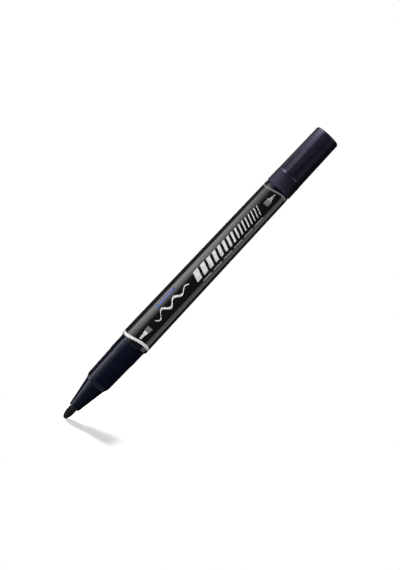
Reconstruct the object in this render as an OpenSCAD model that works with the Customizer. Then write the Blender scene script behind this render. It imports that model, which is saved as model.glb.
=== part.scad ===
// Twin-tip permanent marker: a broad bullet nib at one end and a capped fine nib at the other.
// The axis is +Z. The broad nib's tip is at the origin and the cap's end is at the top.
// All sizes are in millimetres.

/* [Broad nib] */
// Diameter of the broad nib
broad_nib_d = 3.05; // [2.2:0.05:3.1]
// Length of the broad nib outside its nose
broad_nib_reach = 5.2; // [4.5:0.1:8]
// Length of the rounded bullet end
bullet_len = 3.6; // [1.5:0.1:4.2]
// Length of the broad nib's tail inside the ink reservoir
broad_nib_soak = 7; // [3:0.5:15]

/* [Broad nose] */
// Diameter of the nose at its mouth
mouth_d = 4.2; // [4:0.05:4.8]
// Rounding of the mouth's lip
mouth_round = 0.45; // [0.1:0.05:0.45]
// Length of the cone
cone_len = 11; // [8:0.1:14]
// Diameter of the cone at its wide end
cone_d = 7.86; // [7:0.02:8.6]
// Wall of the cone and the shoulder
cone_wall = 1; // [0.8:0.05:1.2]
// Length of the full bore behind the mouth
collar_len = 3.6; // [2.5:0.1:6]
// Length of the bevelled shoulder
shoulder_len = 1.7; // [1:0.1:3]
// Diameter of the grip at the shoulder
grip_d = 9.3; // [8.8:0.02:9.5]
// Diameter of the grip at the cap seat
grip_top_d = 9.8; // [9.1:0.02:9.94]
// Length of the grip
grip_len = 11.4; // [8:0.1:20]
// Diameter of the broad end's cap seat
broad_seat_d = 10.1; // [9.96:0.02:10.6]
// Length of the broad end's cap seat
broad_seat_len = 7; // [4:0.1:10]
// Length of the slope up to the broad end's cap seat
broad_seat_lead = 0.8; // [0.2:0.1:1.5]
// Length of the flared collar next to the barrel, which stops the broad end's cap
broad_collar_len = 0.9; // [0.4:0.1:1.5]
// Rise of the flared collar above the broad end's cap seat
broad_collar_rise = 0.22; // [0.05:0.01:0.24]
// Length of the plug inside the barrel
broad_plug_len = 8; // [5:0.5:15]
// Number of ribs that hold the broad nib
nib_rib_count = 6; // [4:2:8]
// Thickness of one nib rib
nib_rib_w = 0.7; // [0.5:0.05:0.9]

/* [Barrel] */
// Length of the barrel
barrel_len = 73.2; // [60:0.1:100]
// Diameter of the barrel at the broad end
barrel_broad_d = 11.2; // [11.1:0.05:12]
// Diameter of the barrel at the fine end
barrel_fine_d = 10; // [9.7:0.02:10.4]
// Wall of the barrel at both ends
barrel_wall = 1.1; // [0.9:0.05:1.15]
// Rounding of the barrel's end edges
barrel_round = 0.2; // [0.05:0.05:0.4]
// Number of ribs that centre the ink reservoir
barrel_rib_count = 6; // [4:2:10]
// Thickness of one barrel rib
barrel_rib_w = 0.9; // [0.6:0.05:1.4]
// Distance of the barrel ribs from the two plugs
barrel_rib_inset = 2; // [0.5:0.5:10]

/* [Ink reservoir] */
// Diameter of the fibre bundle
reservoir_d = 6.9; // [6:0.05:7]
// Thickness of the film around the fibres
film_wall = 0.12; // [0.08:0.01:0.18]

/* [Fine nose] */
// Length of the plug inside the barrel
fine_plug_len = 7; // [5:0.5:12]
// Wall of the plug
fine_plug_wall = 1.1; // [0.8:0.05:1.5]
// Length of the collar that stands on the barrel's end
fine_collar_len = 0.6; // [0.3:0.05:1.2]
// Step from the barrel's edge in to the collar
fine_collar_inset = 0.1; // [0.02:0.02:0.3]
// Diameter of the cap seat
fine_seat_d = 8.2; // [8.1:0.02:8.5]
// Length of the cap seat, from the collar
fine_seat_len = 5.8; // [4:0.1:8]
// Diameter of the neck that the inner cap seals on
neck_d = 5.9; // [5.2:0.02:6]
// Length of the neck
neck_len = 5; // [3:0.1:6]
// Wall of the neck
neck_wall = 1; // [0.7:0.05:1.2]
// Length of the fine cone
fine_cone_len = 4; // [2:0.1:6]
// Diameter of the fine cone at its mouth
fine_mouth_d = 3.4; // [3.2:0.05:4.4]

/* [Fine tip] */
// Outer diameter of the tip sleeve
sleeve_d = 2.1; // [1.8:0.05:2.4]
// Length of the tip sleeve outside the nose
sleeve_reach = 2.8; // [1:0.1:3.2]
// Length of the sleeve's drawn-in front
sleeve_draw = 0.8; // [0.3:0.1:0.9]
// Thickness of the sleeve's flange
sleeve_flange = 0.6; // [0.4:0.05:1]
// Diameter of the fine nib
fine_nib_d = 1.2; // [0.8:0.05:1.4]
// Length of the fine nib outside its sleeve
fine_nib_reach = 2.5; // [1.5:0.1:2.8]
// Length of the fine nib's point
fine_point_len = 1.7; // [0.8:0.1:2.4]
// Diameter of the rounded end of the point
fine_point_d = 0.5; // [0.3:0.05:0.7]
// Length of the fine nib's tail inside the ink reservoir
fine_nib_soak = 7; // [3:0.5:15]

/* [Cap] */
// Length of the cap
cap_len = 25.7; // [25.6:0.1:32]
// Diameter of the cap at its mouth
cap_mouth_d = 10.24; // [9.9:0.02:10.6]
// Diameter of the cap at its end
cap_end_d = 9.66; // [9.4:0.02:10]
// Rounding of the cap's end edge
cap_end_round = 1; // [0.3:0.05:1]
// Rounding of the mouth's outer edge
cap_mouth_round = 0.35; // [0.05:0.05:0.4]
// Thickness of the closed end
cap_end_wall = 0.8; // [0.6:0.05:1.2]
// Number of flutes
flute_count = 6; // [4:2:8]
// Distance of the flutes from the cap's mouth
flute_start = 5.9; // [5.8:0.1:12]
// Radius of the hollow across one flute
flute_r = 4; // [2.5:0.1:8]
// Depth of one flute at its ledge
flute_depth = 0.5; // [0.3:0.05:0.6]
// Length of the slope that ends a flute
flute_ledge = 0.65; // [0.3:0.05:1.2]
// Turn of the first flute about the axis, in degrees
flute_turn = -9; // [-30:1:30]

/* [Inner cap] */
// Side wall of the inner cap
inner_cap_wall = 0.55; // [0.45:0.05:0.6]
// Thickness of the inner cap's closed end
inner_cap_end_wall = 0.5; // [0.4:0.05:0.8]
// Width of the sealing bead
seal_w = 1.2; // [0.8:0.1:2]
// Distance of the sealing bead from the inner cap's mouth
seal_inset = 0.8; // [0.5:0.1:1.6]

/* [Snap beads and vents] */
// Height of the snap bead on each plug
bead_h = 0.12; // [0.06:0.02:0.2]
// Width of the snap bead on each plug
bead_w = 1.2; // [0.8:0.1:2]
// Width of one air vent
vent_w = 0.5; // [0.3:0.05:0.6]
// Depth of one air vent
vent_depth = 0.25; // [0.15:0.05:0.3]
// Small bevel on the ends of plugs, seats, bores and rods
bevel = 0.3; // [0.1:0.05:0.4]

/* [Clearances] */
// Radial gap between pieces that are pressed together
press_gap = 0.02; // [0.01:0.01:0.03]
// Radial gap between the cap and its seat, and between the seal and the neck
slide_gap = 0.05; // [0.02:0.01:0.08]
// Radial gap around the ink reservoir
loose_gap = 0.08; // [0.04:0.01:0.12]
// Gap between faces that stop each other
stop_gap = 0.05; // [0.02:0.01:0.1]
// Gap between the cap's mouth and the fine nose's collar
mouth_gap = 0.2; // [0.1:0.05:0.5]

/* [Hidden] */
$fn = 96;

// Cuts reach this far past the faces that they open.
past = 1;
// Points along a rounded edge, and along the bullet.
round_steps = 6;
bullet_steps = 12;

// Heights along the axis, from the broad nib's tip upward.
z_mouth = broad_nib_reach;
z_collar = z_mouth + collar_len;
z_cone = z_mouth + cone_len;
z_shoulder = z_cone + shoulder_len;
z_seat = z_shoulder + grip_len;
z_barrel = z_seat + broad_seat_len;
z_broad_plug = z_barrel + broad_plug_len;
z_fine = z_barrel + barrel_len;
z_fine_plug = z_fine - fine_plug_len;
z_fine_collar = z_fine + fine_collar_len;
z_fine_seat = z_fine_collar + fine_seat_len;
z_neck = z_fine_seat + neck_len;
z_fine_mouth = z_neck + fine_cone_len;
z_sleeve = z_fine_mouth + sleeve_reach;
z_fine_tip = z_sleeve + fine_nib_reach;
z_cap = z_fine_collar + mouth_gap;
z_cap_step = z_fine_seat + stop_gap;
z_cap_end = z_cap + cap_len;
z_cap_inside = z_cap_end - cap_end_wall;
z_inner_cap = z_cap_step + bevel;
z_inner_cap_end = z_cap_inside - press_gap;
z_inner_cap_inside = z_inner_cap_end - inner_cap_end_wall;
z_flutes = z_cap + flute_start;
z_reservoir = z_shoulder + stop_gap;
z_reservoir_end = z_fine_plug - stop_gap;

// Radii that several pieces share.
broad_nib_r = broad_nib_d / 2;
broad_bore_r = broad_nib_r + press_gap;
broad_seat_r = broad_seat_d / 2;
broad_socket_r = barrel_broad_d / 2 - barrel_wall;
fine_socket_r = barrel_fine_d / 2 - barrel_wall;
broad_plug_r = broad_socket_r - press_gap;
fine_plug_r = fine_socket_r - press_gap;
fine_plug_bore_r = fine_plug_r - fine_plug_wall;
fine_seat_r = fine_seat_d / 2;
neck_r = neck_d / 2;
neck_bore_r = neck_r - neck_wall;
sleeve_r = sleeve_d / 2;
sleeve_bore_r = sleeve_r + press_gap;
fine_nib_r = fine_nib_d / 2;
fine_bore_r = fine_nib_r + press_gap;
reservoir_r = reservoir_d / 2;
film_bore_r = reservoir_r + press_gap;
film_r = film_bore_r + film_wall;
reservoir_room_r = film_r + loose_gap;
// The barrel's bore narrows to the fine socket, and stays clear of the ink reservoir.
bore_end_r = max(fine_socket_r, reservoir_room_r);
seal_r = neck_r + slide_gap;
inner_cap_bore_r = seal_r + slide_gap;
inner_cap_r = inner_cap_bore_r + inner_cap_wall;
cap_bore_r = inner_cap_r + press_gap;
cap_seat_bore_r = fine_seat_r + slide_gap;
cap_mouth_r = cap_mouth_d / 2;
cap_end_r = cap_end_d / 2;

// Radius of a straight cone from (z0, r0) to (z1, r1) at the height z.
function cone_r(z, z0, r0, z1, r1) = r0 + (r1 - r0) * (z - z0) / (z1 - z0);

// Points of an arc about (cr, cz), from angle a0 to angle a1.
function arc(cr, cz, radius, a0, a1) =
    [for (i = [0:round_steps]) let (a = a0 + (a1 - a0) * i / round_steps)
        [cr + radius * cos(a), cz + radius * sin(a)]];

// Points of a low snap bead on a wall of the radius r, centred on the height z.
function bead(r, z) = [
    [r, z - bead_w / 2],
    [r + bead_h, z - bead_w / 6],
    [r + bead_h, z + bead_w / 6],
    [r, z + bead_w / 2]
];

// Turns an outline of [radius, height] points about the axis.
module lathe(points) {
    rotate_extrude() polygon(points);
}

// Repeats its children evenly about the axis.
module around(count, turn = 0) {
    for (i = [0:count - 1])
        rotate(turn + i * 360 / count) children();
}

// A plate from the axis outward, of the width w and the length reach.
module radial_plate(w, reach, z0, z1) {
    translate([0, -w / 2, z0]) cube([reach, w, z1 - z0]);
}

// The tapered tube, with a socket at each end and ribs that centre the ink reservoir.
module barrel() {
    broad_r = barrel_broad_d / 2;
    fine_r = barrel_fine_d / 2;
    color("#0c0c0f") difference() {
        lathe(concat(
            [[0, z_barrel]],
            arc(broad_r - barrel_round, z_barrel + barrel_round, barrel_round, -90, 0),
            arc(fine_r - barrel_round, z_fine - barrel_round, barrel_round, 0, 90),
            [[0, z_fine]]));
        difference() {
            lathe(concat(
                [[0, z_barrel - past], [broad_socket_r, z_barrel - past]],
                bead(broad_socket_r, (z_barrel + z_broad_plug) / 2),
                [[broad_socket_r, z_broad_plug], [bore_end_r, z_fine_plug]],
                bead(fine_socket_r, (z_fine_plug + z_fine) / 2),
                [[fine_socket_r, z_fine + past], [0, z_fine + past]]));
            difference() {
                around(barrel_rib_count)
                    radial_plate(barrel_rib_w, broad_r, z_broad_plug + barrel_rib_inset,
                        z_fine_plug - barrel_rib_inset);
                translate([0, 0, z_barrel]) cylinder(h = barrel_len, r = reservoir_room_r);
            }
        }
    }
}

// The fibre bundle, with a hole for the tail of each nib.
module ink_reservoir() {
    color("#23242a") difference() {
        translate([0, 0, z_reservoir])
            cylinder(h = z_reservoir_end - z_reservoir, r = reservoir_r);
        translate([0, 0, z_reservoir - past])
            cylinder(h = broad_nib_soak + stop_gap + past, r = broad_bore_r);
        translate([0, 0, z_reservoir_end - fine_nib_soak - stop_gap])
            cylinder(h = fine_nib_soak + stop_gap + past, r = fine_bore_r);
    }
}

// The film tube that is wrapped round the fibres.
module reservoir_film() {
    color("#c9ccd2") translate([0, 0, z_reservoir]) difference() {
        cylinder(h = z_reservoir_end - z_reservoir, r = film_r);
        translate([0, 0, -past])
            cylinder(h = z_reservoir_end - z_reservoir + 2 * past, r = film_bore_r);
    }
}

// The moulded section at the open end: plug, flared collar, cap seat, grip, shoulder and cone.
// Ribs inside the cone hold the nib and carry the reservoir, and vents let air in past the nib.
module broad_nose() {
    mouth_r = mouth_d / 2;
    wide_r = cone_d / 2;
    collar_r = cone_r(z_collar, z_mouth, mouth_r, z_cone, wide_r) - cone_wall;
    color("#191a26") difference() {
        lathe(concat(
            [[0, z_mouth]],
            arc(mouth_r - mouth_round, z_mouth + mouth_round, mouth_round, -90, 0),
            [[wide_r, z_cone], [grip_d / 2, z_shoulder], [grip_top_d / 2, z_seat],
                [broad_seat_r, z_seat + broad_seat_lead], [broad_seat_r, z_barrel - broad_collar_len],
                [broad_seat_r + broad_collar_rise, z_barrel], [broad_plug_r, z_barrel]],
            bead(broad_plug_r, (z_barrel + z_broad_plug) / 2),
            [[broad_plug_r, z_broad_plug - bevel], [broad_plug_r - bevel, z_broad_plug],
                [0, z_broad_plug]]));
        translate([0, 0, z_mouth - past])
            cylinder(h = z_broad_plug - z_mouth + 2 * past, r = broad_bore_r);
        difference() {
            lathe([[0, z_collar], [collar_r, z_collar], [wide_r - cone_wall, z_cone],
                [reservoir_room_r, z_shoulder], [0, z_shoulder]]);
            around(nib_rib_count)
                radial_plate(nib_rib_w, wide_r, z_collar - past, z_shoulder);
        }
        translate([0, 0, z_shoulder])
            cylinder(h = z_broad_plug - z_shoulder + past, r = reservoir_room_r);
        around(nib_rib_count, 180 / nib_rib_count)
            radial_plate(vent_w, broad_bore_r + vent_depth, z_mouth - past, z_collar + past);
    }
}

// The bullet-shaped felt rod, with a bevelled tail that stands in the reservoir.
module broad_nib() {
    z_tail = z_reservoir + broad_nib_soak;
    bullet = [for (i = [0:bullet_steps]) let (a = 90 * i / bullet_steps)
        [broad_nib_r * sin(a), bullet_len * (1 - cos(a))]];
    color("#1e1d1a") lathe(concat(
        bullet,
        [[broad_nib_r, z_tail - bevel], [broad_nib_r - bevel, z_tail], [0, z_tail]]));
}

// The moulded section under the cap: plug, collar, cap seat, seal neck and fine cone.
module fine_nose() {
    collar_r = barrel_fine_d / 2 - fine_collar_inset;
    mouth_r = fine_mouth_d / 2;
    z_floor = z_neck - sleeve_flange;
    color("#191a26") difference() {
        lathe(concat(
            [[0, z_fine_plug], [fine_plug_r - bevel, z_fine_plug], [fine_plug_r, z_fine_plug + bevel]],
            bead(fine_plug_r, (z_fine_plug + z_fine) / 2),
            [[fine_plug_r, z_fine], [collar_r, z_fine], [collar_r, z_fine_collar],
                [fine_seat_r, z_fine_collar], [fine_seat_r, z_fine_seat - bevel],
                [fine_seat_r - bevel, z_fine_seat], [neck_r, z_fine_seat], [neck_r, z_neck],
                [mouth_r, z_fine_mouth - bevel], [mouth_r - bevel, z_fine_mouth],
                [0, z_fine_mouth]]));
        lathe([[0, z_fine_plug - past], [fine_plug_bore_r, z_fine_plug - past],
            [fine_plug_bore_r, z_fine], [neck_bore_r, z_fine_seat], [neck_bore_r, z_floor],
            [0, z_floor]]);
        translate([0, 0, z_floor - past])
            cylinder(h = z_fine_mouth - z_floor + 2 * past, r = sleeve_bore_r);
        around(nib_rib_count)
            radial_plate(vent_w, sleeve_bore_r + vent_depth, z_floor - past, z_fine_mouth + past);
    }
}

// The thin tube that carries the fine nib, with a flange that seats inside the nose.
module fine_tip_sleeve() {
    z_floor = z_neck - sleeve_flange;
    draw_r = (sleeve_r + fine_nib_r) / 2;
    flange_r = (sleeve_bore_r + neck_bore_r) / 2 + vent_depth / 2;
    color("#b9bcc2") difference() {
        lathe([[0, z_floor - sleeve_flange - stop_gap], [flange_r, z_floor - sleeve_flange - stop_gap],
            [flange_r, z_floor - stop_gap], [sleeve_r, z_floor - stop_gap],
            [sleeve_r, z_sleeve - sleeve_draw], [draw_r, z_sleeve], [0, z_sleeve]]);
        translate([0, 0, z_floor - sleeve_flange - past])
            cylinder(h = z_sleeve - z_floor + sleeve_flange + 2 * past, r = fine_bore_r);
    }
}

// The pointed fibre rod of the fine end, whose tail stands in the reservoir.
module fine_nib() {
    z_tail = z_reservoir_end - fine_nib_soak;
    point_r = fine_point_d / 2;
    color("#1e1d1a") lathe(concat(
        [[0, z_tail], [fine_nib_r - bevel, z_tail], [fine_nib_r, z_tail + bevel],
            [fine_nib_r, z_fine_tip - fine_point_len]],
        arc(0, z_fine_tip - point_r, point_r, 0, 90)));
}

// One flute's cutter: a straight scoop along the cap, shallower toward the narrow end.
module flute(ledge_r) {
    translate([ledge_r - flute_depth + flute_r, 0, z_cap])
        cylinder(h = cap_len + past, r = flute_r);
}

// The fluted shell that pushes on over the fine end.
module cap() {
    ledge_r = cone_r(z_flutes, z_cap, cap_mouth_r, z_cap_end, cap_end_r);
    color("#20202e") difference() {
        lathe(concat(
            [[0, z_cap]],
            arc(cap_mouth_r - cap_mouth_round, z_cap + cap_mouth_round, cap_mouth_round, -90, 0),
            arc(cap_end_r - cap_end_round, z_cap_end - cap_end_round, cap_end_round, 0, 90),
            [[0, z_cap_end]]));
        lathe([[0, z_cap - past], [cap_seat_bore_r + bevel + past, z_cap - past],
            [cap_seat_bore_r, z_cap + bevel], [cap_seat_bore_r, z_cap_step],
            [cap_bore_r, z_cap_step], [cap_bore_r, z_cap_inside], [0, z_cap_inside]]);
        intersection() {
            around(flute_count, flute_turn) flute(ledge_r);
            lathe([[ledge_r + past, z_flutes - past * flute_ledge / flute_depth],
                [ledge_r + past, z_cap_end + past], [0, z_cap_end + past],
                [0, z_flutes + ledge_r * flute_ledge / flute_depth]]);
        }
    }
}

// The seal cup that is pressed into the cap and closes on the fine nose's neck.
module inner_cap() {
    z_seal = z_inner_cap + seal_inset;
    seal_rise = inner_cap_bore_r - seal_r;
    color("#e4e4e0") difference() {
        lathe([[0, z_inner_cap], [inner_cap_r - bevel / 2, z_inner_cap],
            [inner_cap_r, z_inner_cap + bevel / 2], [inner_cap_r, z_inner_cap_end - bevel],
            [inner_cap_r - bevel, z_inner_cap_end], [0, z_inner_cap_end]]);
        lathe([[0, z_inner_cap - past], [inner_cap_bore_r + bevel, z_inner_cap - past],
            [inner_cap_bore_r + bevel, z_inner_cap], [inner_cap_bore_r, z_inner_cap + bevel],
            [inner_cap_bore_r, z_seal], [seal_r, z_seal + seal_rise],
            [seal_r, z_seal + seal_w - seal_rise], [inner_cap_bore_r, z_seal + seal_w],
            [inner_cap_bore_r, z_inner_cap_inside], [0, z_inner_cap_inside]]);
    }
}

barrel();
ink_reservoir();
reservoir_film();
broad_nose();
broad_nib();
fine_nose();
fine_tip_sleeve();
fine_nib();
cap();
inner_cap();
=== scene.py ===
"""Looks of the twin-tip marker: dressed pieces, printing, finishes, light, floor and camera.

The marker stands along +Z with the tip of its broad nib at the origin, and its printed front faces -Y.
Angles about the axis count from the front toward +X. Shapes are worked out in millimetres.
"""

import math

import bmesh
import bpy
from mathutils import Matrix, Vector, noise


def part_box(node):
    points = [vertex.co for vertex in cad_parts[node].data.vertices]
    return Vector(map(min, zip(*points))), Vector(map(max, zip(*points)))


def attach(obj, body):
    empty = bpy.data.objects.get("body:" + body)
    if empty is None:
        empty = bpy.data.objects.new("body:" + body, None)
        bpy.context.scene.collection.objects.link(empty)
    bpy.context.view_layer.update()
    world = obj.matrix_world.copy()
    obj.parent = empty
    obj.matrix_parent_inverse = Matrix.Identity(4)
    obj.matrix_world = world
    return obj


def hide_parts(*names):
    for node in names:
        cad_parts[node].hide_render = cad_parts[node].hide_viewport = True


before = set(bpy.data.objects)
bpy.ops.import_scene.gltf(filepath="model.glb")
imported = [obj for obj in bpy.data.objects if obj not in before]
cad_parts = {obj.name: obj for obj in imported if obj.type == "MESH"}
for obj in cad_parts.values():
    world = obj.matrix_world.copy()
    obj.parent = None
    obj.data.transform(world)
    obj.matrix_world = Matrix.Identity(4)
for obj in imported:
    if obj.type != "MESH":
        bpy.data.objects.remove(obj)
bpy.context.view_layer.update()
MM = 0.001


def span(node):
    """Lowest height, highest height and greatest radius of a CAD node, in millimetres."""
    low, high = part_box(node)
    return low.z / MM, high.z / MM, high.x / MM


# Places of the pieces, from the frame
Z_BARREL, Z_FINE, BARREL_R = span("barrel")
Z_MOUTH, Z_BROAD_PLUG, BROAD_COLLAR_R = span("broad_nose")
Z_NIB_TIP, Z_NIB_TAIL, NIB_R = span("broad_nib")
Z_FINE_PLUG, Z_FINE_MOUTH, FINE_COLLAR_R = span("fine_nose")
Z_FLANGE, Z_SLEEVE, FLANGE_R = span("fine_tip_sleeve")
Z_FINE_TAIL, Z_FINE_TIP, FINE_NIB_R = span("fine_nib")
Z_CAP, Z_CAP_END, CAP_R = span("cap")
Z_INNER_CAP, Z_INNER_CAP_END, INNER_CAP_R = span("inner_cap")
FILM_R = span("reservoir_film")[2]

# Barrel. Its plastic is set in, so that the ink on it stays within the CAD barrel
BARREL_FINE_R = 5.0
BARREL_WALL = 1.1
BARREL_EDGE = 0.2
BARREL_INSET = 0.013

# Broad nose and nib
BULLET_LEN = 3.6
BULLET_STEPS = 24
TAIL_END_LEN = 1.0
MOUTH_R = 2.1
MOUTH_EDGE = 0.45
CONE_LEN = 11.0
CONE_R = 3.93
CONE_WALL = 1.0
NIB_BORE_LEN = 3.6
SHOULDER_LEN = 1.7
SHOULDER_EDGE = 0.35
GRIP_R = 4.65
GRIP_TOP_R = 4.9
SEAT_R = 5.05
SEAT_LEN = 7.0
SEAT_LEAD = 0.8
SEAT_EDGE = 0.4
SEAT_POLISH = 0.6
BROAD_COLLAR_LEN = 0.9
BROAD_COLLAR_EDGE = 0.15
VENT_COUNT = 6
VENT_W = 0.5
VENT_DEPTH = 0.25
Z_SEAT = Z_BARREL - SEAT_LEN

# Fine nose, sleeve and nib
FINE_PLUG_WALL = 1.1
FINE_COLLAR_LEN = 0.6
FINE_SEAT_R = 4.1
FINE_SEAT_LEN = 5.8
NECK_R = 2.95
NECK_LEN = 5.0
NECK_WALL = 1.0
FINE_MOUTH_R = 1.7
SLEEVE_R = 1.05
SLEEVE_DRAW = 0.8
FLANGE_LEN = 0.6
FINE_NIB_EDGE = 0.25
FINE_POINT_LEN = 1.7
FINE_POINT_R = 0.25

# Felt: the circle round a rod and the rise per millimetre along it in the noise, and the noise's depth
FELT_CIRCLE = 9
FELT_RISE = 0.8
BROAD_FELT_DEPTH = 0.02
FINE_FELT_DEPTH = 0.01

# Cap and inner cap
CAP_END_R = 4.83
CAP_END_EDGE = 1.0
CAP_MOUTH_EDGE = 0.35
CAP_END_WALL = 0.8
CAP_SEAT_LEN = 5.65
FLUTE_COUNT = 6
FLUTE_START = 5.9
FLUTE_R = 4.0
FLUTE_DEPTH = 0.5
FLUTE_LEDGE = 0.65
FLUTE_TURN = 21.0
FLUTE_SOFTNESS = 0.1
LEDGE_SOFTNESS = 0.32
LEDGE_FOOT_SOFTNESS = 0.03
LEDGE_STEPS = 16
LEDGE_ROWS_BELOW = 12
LEDGE_ROWS_ABOVE = 22
GATE_R = 0.7
GATE_FLOOR_R = 0.42
GATE_DEPTH = 0.15
GATE_EDGE = 0.15
INNER_CAP_WALL = 0.55
INNER_CAP_END_WALL = 0.5
INNER_CAP_EDGE = 0.2
SEAL_W = 1.2
SEAL_INSET = 0.8
SEAL_RISE = 0.05
Z_FLUTES = Z_CAP + FLUTE_START

# Gaps and small edges that several pieces share
PRESS_GAP = 0.02
SLIDE_GAP = 0.05
LOOSE_GAP = 0.08
BEVEL = 0.3
EDGE = 0.08

# Steps round the axis, along the roundings and along the straight sides, and the least that counts
SIDES = 180
CAP_SIDES = 360
EDGE_STEPS = 6
LONGEST_STEP = 1.5
CAP_STEP = 1.0
NIB_STEP = 0.5
SUPPORT = 0.08
LEAST_SHARE = 0.001
TINY = 1e-6


def outline(corners, closed=True):
    """Points of an outline whose corners, given as (radius, height, setback), are rounded.

    A rounding starts and ends at the setback from its corner, or halfway along a shorter side.
    """
    points = []
    count = len(corners)
    for i, (r, z, setback) in enumerate(corners):
        here = Vector((r, z))
        is_end = not closed and i in (0, count - 1)
        if setback == 0 or is_end:
            points.append(here)
            continue
        before = Vector(corners[i - 1][:2]) - here
        after = Vector(corners[(i + 1) % count][:2]) - here
        start = here + before.normalized() * min(setback, before.length / 2)
        end = here + after.normalized() * min(setback, after.length / 2)
        for k in range(EDGE_STEPS + 1):
            t = k / EDGE_STEPS
            points.append(start * (1 - t) ** 2 + here * (2 * t * (1 - t)) + end * t * t)
    return points


def stepped(points, heights=(), closed=True, longest=LONGEST_STEP):
    """The same outline with its long sides cut into steps, with points at the heights given.

    Points close to the ends of a side keep its shading straight up to a rounding.
    """
    result = []
    for i, a in enumerate(points):
        result.append(a)
        if i == len(points) - 1 and not closed:
            break
        b = points[(i + 1) % len(points)]
        length = (b - a).length
        count = max(1, math.ceil(length / longest))
        shares = [k / count for k in range(1, count)]
        if length > 4 * SUPPORT:
            shares += [SUPPORT / length, 1 - SUPPORT / length]
        if abs(b.y - a.y) > longest:
            shares += [(z - a.y) / (b.y - a.y) for z in heights]
        result += [a.lerp(b, t) for t in sorted(shares) if LEAST_SHARE < t < 1 - LEAST_SHARE]
    return result


def new_object(name, data):
    """A new object in the scene."""
    thing = bpy.data.objects.new(name, data)
    bpy.context.scene.collection.objects.link(thing)
    return thing


def new_piece(name, points, faces, body, material):
    """A smooth closed mesh from points in millimetres, which rides on a body."""
    mesh = bpy.data.meshes.new(name)
    mesh.from_pydata([Vector(p) * MM for p in points], [], faces)
    work = bmesh.new()
    work.from_mesh(mesh)
    bmesh.ops.recalc_face_normals(work, faces=work.faces)
    work.to_mesh(mesh)
    work.free()
    mesh.shade_smooth()
    mesh.materials.append(material)
    piece = new_object(name, mesh)
    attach(piece, body)
    return piece


def turned(name, points, body, material, closed=True, sides=SIDES, shape=None):
    """A turned piece, which replaces the CAD node that its name holds.

    An open outline starts and ends on the axis. shape(r, z, angle) may change the radius.
    """
    verts = []
    rings = []
    for r, z in points:
        on_axis = r < TINY
        ring = []
        for k in range(1 if on_axis else sides):
            angle = 2 * math.pi * k / sides
            radius = shape(r, z, angle) if shape else r
            ring.append(len(verts))
            verts.append((radius * math.sin(angle), -radius * math.cos(angle), z))
        rings.append(ring)
    faces = []
    pairs = list(zip(rings, rings[1:]))
    if closed:
        pairs.append((rings[-1], rings[0]))
    for low, high in pairs:
        for k in range(sides):
            n = (k + 1) % sides
            if len(low) == 1:
                faces.append((low[0], high[n], high[k]))
            elif len(high) == 1:
                faces.append((low[k], low[n], high[0]))
            else:
                faces.append((low[k], low[n], high[n], high[k]))
    piece = new_piece(name, verts, faces, body, material)
    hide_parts(name.removeprefix("dressed_"))
    return piece


# Shader nodes

NOISE_LOW = 0.3
NOISE_HIGH = 0.7
WHITE = (1, 1, 1, 1)


def shader(name, sockets):
    """A new material with constant values on its main shader, its node tree, and that shader."""
    material = bpy.data.materials.new(name)
    material.use_nodes = True
    main = material.node_tree.nodes["Principled BSDF"]
    for socket, value in sockets.items():
        main.inputs[socket].default_value = value
    return material, material.node_tree, main


def add(tree, kind, inputs, **settings):
    """A new shader node, with its inputs set or linked."""
    node = tree.nodes.new("ShaderNode" + kind)
    for name, value in settings.items():
        setattr(node, name, value)
    for name, value in inputs.items():
        if isinstance(value, bpy.types.NodeSocket):
            tree.links.new(value, node.inputs[name])
        else:
            node.inputs[name].default_value = value
    return node


def calculate(tree, operation, *values):
    """The result of a calculation with numbers and sockets."""
    return add(tree, "Math", dict(enumerate(values)), operation=operation).outputs[0]


def ranged(tree, value, start, end, low=0.0, high=1.0, kind="LINEAR"):
    """A number that goes from low to high as a value goes from start to end, and stays there beyond."""
    limits = {"Value": value, "From Min": start, "From Max": end, "To Min": low, "To Max": high}
    return add(tree, "MapRange", limits, interpolation_type=kind).outputs["Result"]


def between(tree, value, low, high):
    """A number that goes from low to high as the noise goes from its common low to its common high."""
    return ranged(tree, value, NOISE_LOW, NOISE_HIGH, low, high)


def colours(tree, value, low, high):
    """A colour that goes from low to high with the noise."""
    ramp = add(tree, "ValToRGB", {"Fac": value})
    for element, position, colour in zip(ramp.color_ramp.elements, (NOISE_LOW, NOISE_HIGH), (low, high)):
        element.position = position
        element.color = (*colour, 1)
    return ramp.outputs["Color"]


def brightness(tree, value, stops, low, high):
    """A grey from a ramp with stops (place, grey), whose places lie between low and high."""
    node = add(tree, "ValToRGB", {"Fac": value})
    ramp = node.color_ramp
    ramp.interpolation = "LINEAR"
    while len(ramp.elements) < len(stops):
        ramp.elements.new(1.0)
    for element, (place, grey) in zip(ramp.elements, stops):
        element.position = (place - low) / (high - low)
        element.color = (grey, grey, grey, 1)
    return node.outputs["Color"]


def grain(tree, across, along, detail=3.0, distortion=0.0):
    """Noise whose grains have the given sizes in millimetres, across and along the marker."""
    place = add(tree, "TexCoord", {})
    scale = [1 / (size * MM) for size in (across, across, along)]
    mapping = add(tree, "Mapping", {"Vector": place.outputs["Object"], "Scale": scale})
    inputs = {"Vector": mapping.outputs["Vector"], "Scale": 1.0, "Detail": detail, "Distortion": distortion}
    return add(tree, "TexNoise", inputs).outputs["Fac"]


def height_on_piece(tree):
    """The height of each place on a piece, in metres."""
    place = add(tree, "TexCoord", {})
    return add(tree, "SeparateXYZ", {"Vector": place.outputs["Object"]}).outputs["Z"]


def relief(tree, main, height, depth):
    """Bumps of the given depth in millimetres."""
    bump = add(tree, "Bump", {"Height": height, "Distance": depth * MM, "Strength": 1.0})
    tree.links.new(bump.outputs["Normal"], main.inputs["Normal"])


def dress(tree, main, colour, roughness):
    """Links a varying colour and roughness to the main shader."""
    tree.links.new(colour, main.inputs["Base Color"])
    tree.links.new(roughness, main.inputs["Roughness"])


# Materials


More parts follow.
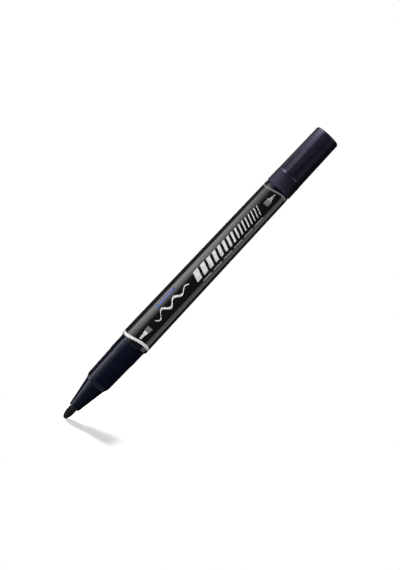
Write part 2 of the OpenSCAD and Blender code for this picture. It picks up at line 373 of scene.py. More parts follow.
def gloss_barrel():
    """Black gloss plastic with rub marks along the barrel and a faint orange peel."""
    material, tree, main = shader("gloss_barrel", {"IOR": 1.5})
    rubs = grain(tree, across=0.5, along=9.0, detail=5.0)
    colour = colours(tree, rubs, (0.0072, 0.0072, 0.0087), (0.0088, 0.0088, 0.0105))
    dress(tree, main, colour, roughness=between(tree, rubs, 0.1, 0.15))
    relief(tree, main, grain(tree, across=1.4, along=1.8, detail=2.0), depth=0.003)
    return material


def moulded_nose():
    """Dark navy moulding with a half gloss from handling, polished where a cap slides on."""
    sockets = {"IOR": 1.5, "Specular IOR Level": 0.34, "Specular Tint": (0.8, 0.76, 1, 1)}
    material, tree, main = shader("moulded_nose", sockets)
    handling = grain(tree, across=2.2, along=4.0, detail=4.0)
    colour = colours(tree, handling, (0.0021, 0.0037, 0.0088), (0.0031, 0.0051, 0.0112))
    height = height_on_piece(tree)
    polish = ranged(tree, height, Z_SEAT * MM, (Z_SEAT + SEAT_LEAD) * MM, low=1.0, high=SEAT_POLISH)
    dress(tree, main, colour, calculate(tree, "MULTIPLY", between(tree, handling, 0.14, 0.2), polish))
    relief(tree, main, grain(tree, across=0.16, along=0.16, detail=2.0), depth=0.004)
    return material


def satin_cap():
    """Dark navy moulding with a fine spark-eroded satin, rubbed dull toward its mouth, with painted light
    that makes it paler there.
    """
    rub_and_painted_light_at_mouth = 0.5
    rub_and_painted_light_at_flutes = 0.1
    handling_share = 0.4
    sockets = {"IOR": 1.5, "Specular IOR Level": 0.17, "Specular Tint": (0.7, 0.68, 1, 1)}
    material, tree, main = shader("satin_cap", sockets)
    handling = grain(tree, across=2.6, along=5.0, detail=4.0)
    # Painted light: this ramp along the height makes the colour paler toward the mouth, and it also makes
    # the finish rougher there
    rub_and_painted_light = ranged(tree, height_on_piece(tree), Z_CAP * MM, Z_FLUTES * MM, rub_and_painted_light_at_mouth, rub_and_painted_light_at_flutes)
    wear_and_painted_light = calculate(tree, "MULTIPLY_ADD", handling, handling_share, rub_and_painted_light)
    colour = colours(tree, wear_and_painted_light, (0.0056, 0.0054, 0.0096), (0.0118, 0.0113, 0.0182))
    dress(tree, main, colour, roughness=between(tree, wear_and_painted_light, 0.28, 0.5))
    relief(tree, main, grain(tree, across=0.12, along=0.12, detail=2.0), depth=0.005)
    return material


def inked_felt():
    """Pressed felt, soaked with black ink, with its fibres along the nib."""
    material, tree, main = shader("inked_felt", {"IOR": 1.4, "Specular IOR Level": 0.2})
    fibres = grain(tree, across=0.07, along=0.9, detail=4.0, distortion=0.4)
    colour = colours(tree, fibres, (0.003, 0.003, 0.0028), (0.013, 0.013, 0.0115))
    dress(tree, main, colour, roughness=between(tree, fibres, 0.65, 0.95))
    relief(tree, main, fibres, depth=0.03)
    return material


def printed(name, low, high):
    """Screen-printed ink, a little uneven in its cover."""
    material, tree, main = shader(name, {"IOR": 1.48})
    cover = grain(tree, across=0.35, along=0.35, detail=4.0)
    dress(tree, main, colours(tree, cover, low, high), roughness=between(tree, cover, 0.16, 0.26))
    relief(tree, main, cover, depth=0.002)
    return material


def seal_plastic():
    """Milky soft plastic."""
    sockets = {"IOR": 1.5, "Subsurface Weight": 0.25, "Subsurface Scale": 0.0008}
    material, tree, main = shader("seal_plastic", sockets)
    cloud = grain(tree, across=1.8, along=2.6)
    colour = colours(tree, cloud, (0.74, 0.74, 0.70), (0.82, 0.82, 0.79))
    dress(tree, main, colour, roughness=between(tree, cloud, 0.38, 0.5))
    relief(tree, main, grain(tree, across=0.3, along=0.3), depth=0.004)
    return material


def turned_steel():
    """Drawn metal with fine rings round it."""
    material, tree, main = shader("turned_steel", {"Metallic": 1.0})
    rings = grain(tree, across=3.0, along=0.04)
    colour = colours(tree, rings, (0.48, 0.49, 0.51), (0.62, 0.63, 0.65))
    dress(tree, main, colour, roughness=between(tree, rings, 0.2, 0.36))
    relief(tree, main, rings, depth=0.003)
    return material


def ink_fibre():
    """Bundled fibres, soaked with ink."""
    material, tree, main = shader("ink_fibre", {"Sheen Weight": 0.1})
    fibres = grain(tree, across=0.06, along=6.0, detail=4.0)
    colour = colours(tree, fibres, (0.006, 0.006, 0.007), (0.022, 0.022, 0.024))
    dress(tree, main, colour, roughness=between(tree, fibres, 0.75, 0.95))
    relief(tree, main, fibres, depth=0.03)
    return material


def clear_film():
    """Thin clear wrap with faint wrinkles."""
    material, tree, main = shader("clear_film", {"IOR": 1.5, "Transmission Weight": 0.8})
    wrinkles = grain(tree, across=0.8, along=5.0)
    colour = colours(tree, wrinkles, (0.78, 0.79, 0.81), (0.86, 0.87, 0.88))
    dress(tree, main, colour, roughness=between(tree, wrinkles, 0.08, 0.2))
    relief(tree, main, wrinkles, depth=0.006)
    return material


BARREL_FINISH = gloss_barrel()
NOSE_FINISH = moulded_nose()
CAP_FINISH = satin_cap()
FELT = inked_felt()
SEAL = seal_plastic()
STEEL = turned_steel()
WHITE_INK = printed("white_ink", (0.9, 0.9, 0.91), (0.96, 0.96, 0.97))
PALE_INK = printed("pale_ink", (0.5, 0.5, 0.51), (0.58, 0.58, 0.59))
GREY_INK = printed("grey_ink", (0.34, 0.34, 0.35), (0.42, 0.42, 0.43))
DIM_INK = printed("dim_ink", (0.2, 0.2, 0.21), (0.25, 0.25, 0.26))
BLUE_INK = printed("blue_ink", (0.06, 0.10, 0.36), (0.09, 0.14, 0.45))


def dress_cad_node(node, material):
    """Gives a CAD node that stays in view its finish."""
    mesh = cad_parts[node].data
    mesh.materials.clear()
    mesh.materials.append(material)
    mesh.polygons.foreach_set("material_index", [0] * len(mesh.polygons))


# Turned pieces


def barrel_radius(z):
    """Radius of the barrel's plastic at a height."""
    return BARREL_R + (BARREL_FINE_R - BARREL_R) * (z - Z_BARREL) / (Z_FINE - Z_BARREL) - BARREL_INSET


def make_barrel():
    """The tapered tube with a socket at each end."""
    broad_socket = BARREL_R - BARREL_WALL
    fine_socket = BARREL_FINE_R - BARREL_WALL
    corners = [
        (broad_socket, Z_BARREL, EDGE),
        (barrel_radius(Z_BARREL), Z_BARREL, BARREL_EDGE),
        (barrel_radius(Z_FINE), Z_FINE, BARREL_EDGE),
        (fine_socket, Z_FINE, EDGE),
        (fine_socket, Z_FINE_PLUG, 0),
        (broad_socket, Z_BROAD_PLUG, 0),
    ]
    return turned("dressed_barrel", stepped(outline(corners)), "barrel", BARREL_FINISH)


def turn_from_nearest(angle, count):
    """Angle to the nearest of some features that are spread evenly round the axis from angle 0."""
    pitch = 2 * math.pi / count
    return abs((angle + pitch / 2) % pitch - pitch / 2)


def make_broad_nose():
    """The moulded nose: cone, shoulder, grip, cap seat, collar and plug.

    Vents run along the bore in its mouth, round the nib.
    """
    bore = NIB_R + PRESS_GAP
    room = FILM_R + LOOSE_GAP
    plug = BARREL_R - BARREL_WALL - PRESS_GAP
    z_cone = Z_MOUTH + CONE_LEN
    z_shoulder = z_cone + SHOULDER_LEN
    z_bore = Z_MOUTH + NIB_BORE_LEN
    cone_inside = MOUTH_R + (CONE_R - MOUTH_R) * NIB_BORE_LEN / CONE_LEN - CONE_WALL
    corners = [
        (bore, Z_MOUTH, EDGE),
        (MOUTH_R, Z_MOUTH, MOUTH_EDGE),
        (CONE_R, z_cone, SHOULDER_EDGE),
        (GRIP_R, z_shoulder, SHOULDER_EDGE),
        (GRIP_TOP_R, Z_SEAT, SEAT_EDGE),
        (SEAT_R, Z_SEAT + SEAT_LEAD, SEAT_EDGE),
        (SEAT_R, Z_BARREL - BROAD_COLLAR_LEN, BROAD_COLLAR_EDGE),
        (BROAD_COLLAR_R, Z_BARREL, EDGE),
        (plug, Z_BARREL, 0),
        (plug, Z_BROAD_PLUG, BEVEL),
        (room, Z_BROAD_PLUG, EDGE),
        (room, z_shoulder, 0),
        (CONE_R - CONE_WALL, z_cone, 0),
        (cone_inside, z_bore, 0),
        (bore, z_bore, 0),
    ]
    half_vent = VENT_W / 2 / bore

    def vented(r, z, angle):
        in_bore = r < bore + EDGE and z < z_bore + EDGE
        in_vent = in_bore and turn_from_nearest(angle, VENT_COUNT) < half_vent
        return r + VENT_DEPTH if in_vent else r

    points = stepped(outline(corners))
    return turned("dressed_broad_nose", points, "barrel", NOSE_FINISH, shape=vented)


def felt_wall(depth):
    """A shape for a fibre rod, whose surface is uneven by the given depth."""

    def uneven(r, z, angle):
        place = Vector((FELT_CIRCLE * math.cos(angle), FELT_CIRCLE * math.sin(angle), FELT_RISE * z))
        return r + depth * (noise.noise(place) - 1)

    return uneven


def felt_rod(name, points, depth):
    """A felt nib with an uneven surface."""
    return turned(name, points, "barrel", FELT, closed=False, shape=felt_wall(depth))


def make_broad_nib():
    """The bullet-shaped felt rod."""
    bullet = [Vector((0, Z_NIB_TIP))]
    for i in range(1, BULLET_STEPS + 1):
        a = math.pi / 2 * i / BULLET_STEPS
        bullet.append(Vector((NIB_R * math.sin(a), Z_NIB_TIP + BULLET_LEN * (1 - math.cos(a)))))
    tail = [
        (NIB_R, Z_NIB_TAIL - TAIL_END_LEN, 0),
        (NIB_R, Z_NIB_TAIL, BEVEL),
        (0, Z_NIB_TAIL, 0),
    ]
    points = stepped(bullet + outline(tail, closed=False), closed=False, longest=NIB_STEP)
    return felt_rod("dressed_broad_nib", points, BROAD_FELT_DEPTH)


def make_fine_nose():
    """The moulded nose under the cap: plug, collar, cap seat, seal neck and fine cone."""
    plug = BARREL_FINE_R - BARREL_WALL - PRESS_GAP
    bore = SLEEVE_R + PRESS_GAP
    z_collar = Z_FINE + FINE_COLLAR_LEN
    z_seat = z_collar + FINE_SEAT_LEN
    z_neck = z_seat + NECK_LEN
    neck_bore = NECK_R - NECK_WALL
    corners = [
        (bore, Z_FINE_MOUTH, EDGE),
        (FINE_MOUTH_R, Z_FINE_MOUTH, BEVEL),
        (NECK_R, z_neck, BEVEL),
        (NECK_R, z_seat, 0),
        (FINE_SEAT_R, z_seat, BEVEL),
        (FINE_SEAT_R, z_collar, 0),
        (FINE_COLLAR_R, z_collar, EDGE),
        (FINE_COLLAR_R, Z_FINE, 0),
        (plug, Z_FINE, 0),
        (plug, Z_FINE_PLUG, BEVEL),
        (plug - FINE_PLUG_WALL, Z_FINE_PLUG, EDGE),
        (plug - FINE_PLUG_WALL, Z_FINE, 0),
        (neck_bore, z_seat, 0),
        (neck_bore, z_neck - FLANGE_LEN, 0),
        (bore, z_neck - FLANGE_LEN, 0),
    ]
    return turned("dressed_fine_nose", stepped(outline(corners)), "barrel", NOSE_FINISH)


def make_fine_sleeve():
    """The flanged metal sleeve of the fine end."""
    bore = FINE_NIB_R + PRESS_GAP
    corners = [
        (bore, Z_FLANGE, 0),
        (FLANGE_R, Z_FLANGE, EDGE),
        (FLANGE_R, Z_FLANGE + FLANGE_LEN, EDGE),
        (SLEEVE_R, Z_FLANGE + FLANGE_LEN, 0),
        (SLEEVE_R, Z_SLEEVE - SLEEVE_DRAW, BEVEL),
        ((SLEEVE_R + FINE_NIB_R) / 2, Z_SLEEVE, EDGE),
        (bore, Z_SLEEVE, 0),
    ]
    points = stepped(outline(corners), longest=NIB_STEP)
    return turned("dressed_fine_tip_sleeve", points, "barrel", STEEL)


def make_fine_nib():
    """The pointed fibre rod in the sleeve."""
    corners = [
        (0, Z_FINE_TAIL, 0),
        (FINE_NIB_R, Z_FINE_TAIL, BEVEL),
        (FINE_NIB_R, Z_FINE_TIP - FINE_POINT_LEN, FINE_NIB_EDGE),
        (FINE_POINT_R, Z_FINE_TIP, FINE_POINT_R),
        (0, Z_FINE_TIP, 0),
    ]
    points = stepped(outline(corners, closed=False), closed=False, longest=NIB_STEP)
    return felt_rod("dressed_fine_nib", points, FINE_FELT_DEPTH)


def soft_min(a, b, softness):
    """The smaller of two radii, blended where they are close."""
    h = min(1, max(0, 0.5 + (b - a) / (2 * softness)))
    return b + (a - b) * h - softness * h * (1 - h)


def soft_max(a, b, softness):
    """The larger of two radii, blended where they are close."""
    return -soft_min(-a, -b, softness)


def cap_radius(z):
    """Outer radius of the cap's plain wall at a height."""
    return CAP_R + (CAP_END_R - CAP_R) * (z - Z_CAP) / (Z_CAP_END - Z_CAP)


def fluted(r, z, angle):
    """Radius of the cap, with scooped flutes in its outside.

    They start at a sloping ledge with a soft upper edge, and run out through the end.
    """
    slope = FLUTE_DEPTH / FLUTE_LEDGE
    if r < cap_radius(z) - CAP_END_EDGE or z < Z_FLUTES - LEDGE_SOFTNESS / slope:
        return r
    turn = turn_from_nearest(angle - math.radians(FLUTE_TURN), FLUTE_COUNT)
    centre = cap_radius(Z_FLUTES) - FLUTE_DEPTH + FLUTE_R
    inside = FLUTE_R ** 2 - (centre * math.sin(turn)) ** 2
    if inside < 0:
        return r
    trough = centre * math.cos(turn) - math.sqrt(inside)
    ledge = cap_radius(Z_FLUTES) - (z - Z_FLUTES) * slope
    on_ledge = min(max((ledge - trough) / LEDGE_SOFTNESS, 0), 1)
    softness = FLUTE_SOFTNESS + (LEDGE_SOFTNESS - FLUTE_SOFTNESS) * on_ledge
    return soft_min(r, soft_max(trough, ledge, LEDGE_FOOT_SOFTNESS), softness)


def make_cap():
    """The fluted shell over the fine end, with a small gate dimple in its closed end."""
    seat_bore = FINE_SEAT_R + SLIDE_GAP
    bore = INNER_CAP_R + PRESS_GAP
    z_inside = Z_CAP_END - CAP_END_WALL
    z_step = Z_CAP + CAP_SEAT_LEN
    corners = [
        (0, Z_CAP_END - GATE_DEPTH, 0),
        (GATE_FLOOR_R, Z_CAP_END - GATE_DEPTH, GATE_EDGE),
        (GATE_R, Z_CAP_END, GATE_EDGE),
        (CAP_END_R, Z_CAP_END, CAP_END_EDGE),
        (CAP_R, Z_CAP, CAP_MOUTH_EDGE),
        (seat_bore + BEVEL, Z_CAP, EDGE),
        (seat_bore, Z_CAP + BEVEL, EDGE),
        (seat_bore, z_step, 0),
        (bore, z_step, EDGE),
        (bore, z_inside, 0),
        (0, z_inside, 0),
    ]
    rows = range(-LEDGE_ROWS_BELOW, LEDGE_ROWS_ABOVE + 1)
    heights = [Z_FLUTES + FLUTE_LEDGE * k / LEDGE_STEPS for k in rows]
    points = stepped(outline(corners, closed=False), heights, closed=False, longest=CAP_STEP)
    return turned(
        "dressed_cap", points, "cap", CAP_FINISH, closed=False, sides=CAP_SIDES, shape=fluted
    )


def make_inner_cap():
    """The seal cup inside the cap."""
    bore = INNER_CAP_R - INNER_CAP_WALL
    z_inside = Z_INNER_CAP_END - INNER_CAP_END_WALL
    z_seal = Z_INNER_CAP + SEAL_INSET
    corners = [
        (0, Z_INNER_CAP_END, 0),
        (INNER_CAP_R, Z_INNER_CAP_END, BEVEL),
        (INNER_CAP_R, Z_INNER_CAP, EDGE),
        (bore + BEVEL, Z_INNER_CAP, EDGE),
        (bore, Z_INNER_CAP + BEVEL, EDGE),
        (bore, z_seal, EDGE),
        (bore - SEAL_RISE, z_seal + SEAL_RISE, EDGE),
        (bore - SEAL_RISE, z_seal + SEAL_W - SEAL_RISE, EDGE),
        (bore, z_seal + SEAL_W, EDGE),
        (bore, z_inside, INNER_CAP_EDGE),
        (0, z_inside, 0),
    ]
    points = stepped(outline(corners, closed=False), closed=False)
    return turned("dressed_inner_cap", points, "cap", SEAL, closed=False)


# Printing on the barrel

# Ink above and below the barrel's surface, steps of its patches, and the slant that they share
INK_LIFT = 0.01
INK_ROOT = 0.03
STEP_ACROSS = 0.3
STEP_ALONG = 1.0
SLANT = 0.4

# Wavy borders
BORDER_SIDES = 240
BORDER_STEPS = 4
BORDER_WAVES = 2
BROAD_BORDER_Z = Z_BARREL + 1.57
FINE_BORDER_Z = Z_FINE - 0.85

# Nib pictures: parts from the tip on, as (length, width at the tip's side, width at the body's side)
PICTURE_ACROSS = 0.56
PICTURE_GAP = 0.02
BROAD_PICTURE_TIP = Z_BARREL + 3.1
FINE_PICTURE_TIP = Z_FINE - 1.5
BROAD_PICTURE = [(0.4, 0.5, 0.85), (1.15, 0.85, 0.85), (1.7, 1.05, 1.5), (1.9, 1.85, 2.1)]
FINE_PICTURE = [(1.45, 0.25, 0.75), (1.05, 0.95, 1.1), (0.55, 1.75, 1.85), (1.85, 1.95, 1.95)]

# Sample bars
BARS_START = Z_BARREL + 31.7
BAR_COUNT = 16
BAR_W = 3.6
BAR_GAP = 1.05
BROADEST_BAR = 2.4
FINEST_BAR = 0.3

# Dashes of the rule
DASHES_START = Z_BARREL + 32.7
DASH_COUNT = 6
DASH_PITCH = 5.2
DASH_LEN = 4.2
DASH_W = 0.5
DASH_ACROSS = 3.1

# Sample stroke: how much its swing fades, its width at the ends, and the columns of its ink
STROKE_START = Z_BARREL + 11.2
STROKE_END = Z_BARREL + 28.7
STROKE_STEPS = 120
STROKE_FADE = 0.6
STROKE_END_SHARE = 0.35
STROKE_COLUMNS = (-1, -0.5, 0, 0.5, 1)

# Accent bar beside the stroke
ACCENT_ACROSS = -2.9
ACCENT_START = Z_BARREL + 14.7
ACCENT_END = Z_BARREL + 24.2
ACCENT_W = 0.9


def on_barrel(across, z, lift):
    """A point on the barrel, at a distance across from its front line, at a height."""
    r = barrel_radius(z)
    angle = across / r
    return ((r + lift) * math.sin(angle), -(r + lift) * math.cos(angle), z)


def ink_patch(rows, closed):
    """Points and faces of a thin patch of ink over rows of (across, height) places.

    Closed rows run round the barrel.
    """
    count = len(rows[0])
    points = [on_barrel(a, z, INK_LIFT) for row in rows for a, z in row]
    under = len(points)
    points += [on_barrel(a, z, -INK_ROOT) for row in rows for a, z in row]
    faces = []
    columns = range(count if closed else count - 1)
    for i in range(len(rows) - 1):
        for k in columns:
            n = (k + 1) % count
            quad = (i * count + k, i * count + n, (i + 1) * count + n, (i + 1) * count + k)
            faces.append(quad)
            faces.append(tuple(under + v for v in reversed(quad)))
    rims = [[i * count + k for k in range(count)] for i in (0, len(rows) - 1)]
    if not closed:
        rims += [[i * count + k for i in range(len(rows))] for k in (0, count - 1)]
    for rim in rims:
        ahead = rim[1:] + rim[:1] if closed else rim[1:]
        faces += [(a, b, under + b, under + a) for a, b in zip(rim, ahead)]
    return points, faces


def ink_piece(name, patches, material):
    """One printed piece from several patches of ink."""
    points = []
    faces = []
    for patch_points, patch_faces in patches:
        first = len(points)
        points += patch_points
        faces += [tuple(first + v for v in face) for face in patch_faces]
    return new_piece(name, points, faces, "barrel", material)


def bar(centre, z0, z1, width0, width1, slant=0.0):
    """A patch of ink along the barrel, whose width goes from width0 to width1, with slanted ends."""
    along = max(2, math.ceil(abs(z1 - z0) / STEP_ALONG)) + 1
    across = max(2, math.ceil(max(width0, width1) / STEP_ACROSS)) + 1
    rows = []
    for i in range(along):
        t = i / (along - 1)
        width = width0 + (width1 - width0) * t
        row = []
        for k in range(across):
            s = centre + width * (k / (across - 1) - 0.5)
            row.append((s, z0 + (z1 - z0) * t - slant * (s - centre)))
        rows.append(row)
    return ink_patch(rows, closed=False)


def wave_ring(z_middle, swing, turn, width):
    """A wavy ring of ink, which rises through its middle at the turn, in degrees left of the front."""
    rows = []
    for i in range(BORDER_STEPS + 1):
        row = []
        for k in range(BORDER_SIDES):
            angle = 2 * math.pi * k / BORDER_SIDES
            wave = swing * math.sin(BORDER_WAVES * (angle + math.radians(turn)))
            z = z_middle + wave + width * (i / BORDER_STEPS - 0.5)
            row.append((angle * barrel_radius(z), z))
        rows.append(row)
    return ink_patch(rows, closed=True)


def stroke(z0, z1, swing, waves, width):
    """A freehand wavy stroke of ink along the barrel, thin at both ends."""
    rows = []
    for i in range(STROKE_STEPS + 1):
        t = i / STROKE_STEPS
        middle = swing * math.sin(2 * math.pi * waves * t) * (1 - STROKE_FADE * t)
        half = width / 2 * (STROKE_END_SHARE + (1 - STROKE_END_SHARE) * math.sin(math.pi * t))
        z = z0 + (z1 - z0) * t
        rows.append([(middle + half * k, z - SLANT * half * k) for k in STROKE_COLUMNS])
    return ink_patch(rows, closed=False)


def nib_picture(z_tip, z_step, parts):
    """Patches of a small nib picture on the front, one for each part, from its tip toward its body."""
    patches = []
    z = z_tip
    for length, tip_width, body_width in parts:
        end = z + z_step * length
        low, high = sorted((z, end))
        widths = (tip_width, body_width) if z_step > 0 else (body_width, tip_width)
        patches.append(bar(PICTURE_ACROSS, low, high, *widths))
        z = end + z_step * PICTURE_GAP
    return patches


def sample_bars():
    """Patches of the sample bars, which go from broad to fine in even ratios."""
    bars = []
    z = BARS_START
    for i in range(BAR_COUNT):
        thick = BROADEST_BAR * (FINEST_BAR / BROADEST_BAR) ** (i / (BAR_COUNT - 1))
        bars.append(bar(0.0, z, z + thick, BAR_W, BAR_W, slant=SLANT))
        z += thick + BAR_GAP
    return bars


def dashed_rule():
    """Patches of a thin dashed rule beside the sample bars."""
    starts = [DASHES_START + DASH_PITCH * i for i in range(DASH_COUNT)]
    return [bar(DASH_ACROSS, z, z + DASH_LEN, DASH_W, DASH_W) for z in starts]


def make_printing():
    """Wavy borders, nib pictures, sample bars, a sample stroke, a dashed rule and an accent bar."""
    broad_border = wave_ring(BROAD_BORDER_Z, swing=0.8, turn=11.8, width=1.06)
    fine_border = wave_ring(FINE_BORDER_Z, swing=0.68, turn=5, width=0.62)
    *broad_nib, broad_body = nib_picture(BROAD_PICTURE_TIP, z_step=1, parts=BROAD_PICTURE)
    *fine_nib, fine_body = nib_picture(FINE_PICTURE_TIP, z_step=-1, parts=FINE_PICTURE)
    sample_stroke = stroke(STROKE_START, STROKE_END, swing=1.3, waves=3.0, width=0.8)
    accent = bar(ACCENT_ACROSS, ACCENT_START, ACCENT_END, ACCENT_W, ACCENT_W, slant=SLANT)
    return [
        ink_piece("print_border_broad", [broad_border], WHITE_INK),
        ink_piece("print_border_fine", [fine_border], DIM_INK),
        ink_piece("print_nib_picture_broad", broad_nib, WHITE_INK),
        ink_piece("print_nib_picture_fine", fine_nib, PALE_INK),
        ink_piece("print_nib_bodies", [broad_body, fine_body], DIM_INK),
        ink_piece("print_sample_bars", sample_bars(), WHITE_INK),
        ink_piece("print_sample_stroke", [sample_stroke], WHITE_INK),
        ink_piece("print_rule", dashed_rule(), GREY_INK),
        ink_piece("print_accent", [accent], BLUE_INK),
    ]


BARREL_PIECES = [make_barrel(), *make_printing()]
NOSE_PIECES = [make_broad_nose(), make_broad_nib(), make_fine_nose(), make_fine_sleeve(), make_fine_nib()]
CAP_PIECES = [make_cap(), make_inner_cap()]
dress_cad_node("ink_reservoir", ink_fibre())
dress_cad_node("reservoir_film", clear_film())

# Camera, at the photograph's viewing angle. Its sensor spans the frame's height, which is the longer side

FRAME_H = 570
FOCAL_PX = 1300
SENSOR = 36.0
LEAN = math.radians(46.87)
TILT = math.radians(1.5)
DISTANCE = 457 * MM
AIM = Vector((2.97, 0, 67.12)) * MM
NEAREST = 0.01
FARTHEST = 10


def make_camera():
    """The camera, which looks at the front from a little toward the cap, rolled so that the marker leans.

    Gives its directions to the right, up and forward.
    """
    forward = Vector((0, math.cos(TILT), -math.sin(TILT)))
    side = Vector((1, 0, 0))
    roll = math.pi / 2 - LEAN
    above = side.cross(forward)
    right = side * math.cos(roll) + above * math.sin(roll)
    up = above * math.cos(roll) - side * math.sin(roll)
    data = bpy.data.cameras.new("camera")
    data.sensor_width = SENSOR
    data.lens = FOCAL_PX / FRAME_H * SENSOR
    data.clip_start = NEAREST
    data.clip_end = FARTHEST
    camera = new_object("camera", data)
    turn = Matrix((right, up, -forward)).transposed().to_4x4()
    camera.matrix_world = Matrix.Translation(AIM - forward * DISTANCE) @ turn
    bpy.context.scene.camera = camera
    return right, up, forward


RIGHT, UP, FORWARD = make_camera()

# Light round the marker

# Each soft box has a brightness over the angle about the axis, in degrees, and one over the height of the
# direction, from -1 straight past the nib to 1 straight past the cap. The two are multiplied
TALL_FOOT = [(-1, 0), (-0.75, 0.04), (-0.62, 0.12), (-0.5, 0.7), (-0.4, 0.75), (-0.15, 0.95)]
TALL_CORE = (
    [(-180, 0), (-103, 0), (-96, 0.8), (-88, 0.93), (-81, 0.36), (-72, 0.05), (-64, 0)],
    TALL_FOOT + [(0.07, 1), (0.09, 0.25), (0.3, 0.06), (1, 0)],
)
TALL_FLANK = (
    [(-180, 0), (-90, 0), (-84, 0.25), (-81, 0.35), (-72, 0.28), (-66, 0.1), (-50, 0.03), (-25, 0)],
    TALL_FOOT + [(-0.135, 0.9), (-0.115, 0)],
)
WIDE_BOX = (
    [(-180, 0), (-90, 0), (-84, 0.54), (-81, 0.79), (-72, 1.06), (-67, 1.05), (-53, 0.7), (-37, 0.23),
        (-26, 0)],
    [(-1, 0), (-0.7, 0), (-0.55, 0.2), (-0.35, 0.2), (-0.17, 0.13), (-0.14, 0.1), (-0.12, 0.02),
        (-0.09, 0.03), (-0.079, 0.8), (-0.072, 1), (0.03, 1), (0.07, 0.45), (0.1, 0.22), (0.2, 0)],
)
LOW_BOX = (
    [(-180, 0.2), (-155, 0.8), (-128, 1.35), (-104, 0.75), (-94, 0.15), (-88, 0)],
    [(-1, 0.3), (-0.8, 1), (-0.65, 0.8), (-0.5, 0.12), (-0.4, 0)],
)
BACK_BOX = (
    [(-180, 0), (-155, 0.09), (-130, 0.1), (-112, 0.04), (-102, 0)],
    [(-1, 0), (0.06, 0.1), (0.1, 1), (0.13, 0.8), (0.3, 0.6), (0.45, 0)],
)
SOFT_BOXES = [TALL_CORE, TALL_FLANK, WIDE_BOX, LOW_BOX, BACK_BOX]
BOX_STRENGTH = 4.3

# Faint light from all round, over the height of the direction
BASE_LIGHT = [(-1, 0.08), (-0.7, 0.072), (-0.62, 0.09), (-0.55, 0.1), (-0.49, 0.01), (-0.43, 0),
    (-0.25, 0.005), (1, 0.005)]

# Turn of the boxes about the axis, between two heights of the direction
TWIST_START = -0.12
TWIST_END = 0.07
TWIST_LOW = math.radians(-5)
TWIST_HIGH = math.radians(0.3)


def make_world():
    """Soft boxes at the left and the back over a faint base, and white where the camera looks past."""
    world = bpy.data.worlds.new("studio")
    bpy.context.scene.world = world
    world.use_nodes = True
    tree = world.node_tree
    tree.nodes.clear()
    way = add(tree, "SeparateXYZ", {"Vector": add(tree, "TexCoord", {}).outputs["Generated"]}).outputs
    azimuth = calculate(tree, "ARCTAN2", way["X"], calculate(tree, "MULTIPLY", way["Y"], -1.0))
    twist = ranged(tree, way["Z"], TWIST_START, TWIST_END, TWIST_LOW, TWIST_HIGH)
    turn = ranged(tree, calculate(tree, "ADD", azimuth, twist), -math.pi, math.pi)
    level = ranged(tree, way["Z"], -1.0, 1.0)
    light = brightness(tree, level, BASE_LIGHT, -1, 1)
    for round_axis, along_axis in SOFT_BOXES:
        across = brightness(tree, turn, round_axis, -180, 180)
        reach = brightness(tree, level, along_axis, -1, 1)
        light = calculate(tree, "MULTIPLY_ADD", across, reach, light)
    strength = calculate(tree, "MULTIPLY", light, BOX_STRENGTH)
    studio = add(tree, "Background", {"Color": WHITE, "Strength": strength})
    white = add(tree, "Background", {"Color": WHITE, "Strength": 1.0})
    seen = add(tree, "LightPath", {}).outputs["Is Camera Ray"]
    mix = add(tree, "MixShader", {0: seen, 1: studio.outputs[0], 2: white.outputs[0]})
    output = add(tree, "OutputWorld", {})
    tree.links.new(mix.outputs[0], output.inputs["Surface"])


# Floor under the nib

FLOOR_PITCH = math.radians(24)
FLOOR_HALF = 0.4
FLOOR_UP = UP * math.cos(FLOOR_PITCH) - FORWARD * math.sin(FLOOR_PITCH)
FLOOR_AWAY = FORWARD * math.cos(FLOOR_PITCH) + UP * math.sin(FLOOR_PITCH)
PAPER = (0.1, 0.1, 0.1, 1)
PAPER_GLOW = 0.625
FADE_START = 22
FADE_END = 28


def floor_paper():
    """Pale paper round the nib, lost in white farther off. Only its upper side shows."""
    material = bpy.data.materials.new("pale_floor")
    material.use_nodes = True
    tree = material.node_tree
    tree.nodes.clear()
    paper = add(tree, "BsdfDiffuse", {"Color": PAPER})
    glow = add(tree, "Emission", {"Color": WHITE, "Strength": PAPER_GLOW})
    near = add(tree, "AddShader", {0: paper.outputs[0], 1: glow.outputs[0]})
    far = add(tree, "Emission", {"Color": WHITE, "Strength": 1.0})
    place = add(tree, "TexCoord", {})
    distance = add(tree, "VectorMath", {0: place.outputs["Object"]}, operation="LENGTH").outputs["Value"]
    lost = ranged(tree, distance, FADE_START * MM, FADE_END * MM, kind="SMOOTHSTEP")
    upper = add(tree, "MixShader", {0: lost, 1: near.outputs[0], 2: far.outputs[0]})
    clear = add(tree, "BsdfTransparent", {})
    under = add(tree, "NewGeometry", {}).outputs["Backfacing"]
    mix = add(tree, "MixShader", {0: under, 1: upper.outputs[0], 2: clear.outputs[0]})
    output = add(tree, "OutputMaterial", {})
    tree.links.new(mix.outputs[0], output.inputs["Surface"])
    return material


def make_floor():
    """A writing surface that touches the nib, whose bullet is half of an ellipsoid."""
    reach = math.hypot(NIB_R * math.hypot(FLOOR_UP.x, FLOOR_UP.y), BULLET_LEN * FLOOR_UP.z)
    drop = (FLOOR_UP.z * BULLET_LEN - reach) * MM
    corners = [(-1, -1), (1, -1), (1, 1), (-1, 1)]
    points = [FLOOR_UP * drop + (RIGHT * a + FLOOR_AWAY * b) * FLOOR_HALF for a, b in corners]
    mesh = bpy.data.meshes.new("floor")
    mesh.from_pydata(points, [], [(0, 1, 2, 3)])
    mesh.materials.append(floor_paper())
    floor = new_object("floor", mesh)
    floor.visible_glossy = False
    floor.visible_diffuse = False
    return floor


# Lamps


def light_only(lamp, things):
    """Makes a lamp light only some things, though the others still cast shadows."""
    lamp.light_linking.receiver_collection = bpy.data.collections.new(lamp.name + "_receivers")
    for thing in things:
        lamp.light_linking.receiver_collection.objects.link(thing)


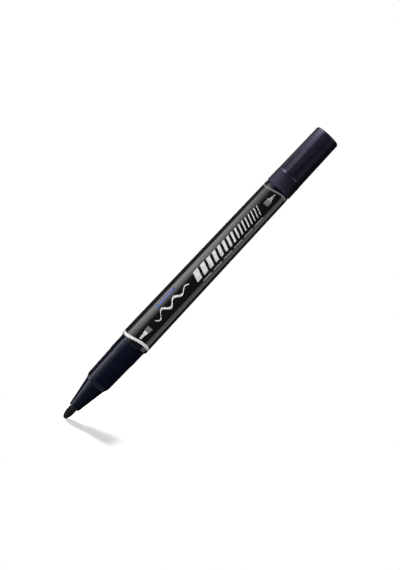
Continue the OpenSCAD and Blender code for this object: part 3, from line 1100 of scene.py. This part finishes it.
def make_panel(name, things, facing, offset, width, height, radiance):
    """A soft box that only shows mirrored in some things, at an offset from the point that it faces.

    Places and sizes are in millimetres.
    """
    data = bpy.data.lights.new(name, "AREA")
    data.shape = "RECTANGLE"
    data.size = width * MM
    data.size_y = height * MM
    data.energy = radiance * math.pi * data.size * data.size_y
    lamp = new_object(name, data)
    turn = Vector(offset).to_track_quat("Z", "Y").to_matrix().to_4x4()
    lamp.matrix_world = Matrix.Translation((facing + Vector(offset)) * MM) @ turn
    lamp.visible_camera = False
    lamp.visible_diffuse = False
    light_only(lamp, things)


def make_sun(name, things, direction, strength, softness):
    """A soft distant light that shades some things and casts shadows, but is not mirrored in them."""
    data = bpy.data.lights.new(name, "SUN")
    data.energy = strength
    data.angle = math.radians(softness)
    lamp = new_object(name, data)
    lamp.matrix_world = Vector(direction).to_track_quat("Z", "Y").to_matrix().to_4x4()
    lamp.visible_glossy = False
    light_only(lamp, things)


make_world()
FLOOR = make_floor()

# Points that the panels face. The ledges are those of the two flutes in front
Z_LEDGE = Z_FLUTES + 0.3
STRIP_MIDDLE = Vector((0, -2.5, (Z_BARREL + Z_FINE) / 2 - 1.5))
CAP_SIDE = Vector((0, -22, Z_CAP_END + 32))
LEFT_LEDGE = Vector((-3.1, -3.8, Z_LEDGE))
RIGHT_LEDGE = Vector((1.8, -4.6, Z_LEDGE))

make_panel(
    "strip_light", BARREL_PIECES, STRIP_MIDDLE, offset=(70, 0, 0),
    width=51, height=Z_FINE - Z_BARREL + 17, radiance=1.2,
)
make_panel(
    "cap_panel", CAP_PIECES, CAP_SIDE, offset=(-60, 0, 0),
    width=32, height=54, radiance=20,
)
make_panel(
    "flute_light", CAP_PIECES, LEFT_LEDGE, offset=(-56, 19, 13),
    width=16, height=24, radiance=3.1,
)
make_panel(
    "left_ledge_light", CAP_PIECES, LEFT_LEDGE, offset=(-137, -27, 110),
    width=126, height=90, radiance=9.8,
)
make_panel(
    "right_ledge_light", CAP_PIECES, RIGHT_LEDGE, offset=(110, -77, 120),
    width=126, height=90, radiance=5.4,
)
FLOOR_LIGHT_WAY = RIGHT * -1.6 + FLOOR_AWAY * 2.73 + FLOOR_UP
make_sun("floor_light", [FLOOR], direction=FLOOR_LIGHT_WAY, strength=85, softness=11)
make_sun("print_light", BARREL_PIECES, direction=(0.15, -0.8, 0.58), strength=2.0, softness=60)
make_sun("nose_light", NOSE_PIECES, direction=(-0.2, -0.85, 0.45), strength=3.3, softness=60)
make_sun("back_light", NOSE_PIECES + CAP_PIECES, direction=(0.26, 0.97, 0.2), strength=6.0, softness=60)
make_sun("cap_light", CAP_PIECES, direction=(-0.46, -0.88, -1.1), strength=14, softness=50)
bpy.context.scene.view_settings.view_transform = "Standard"
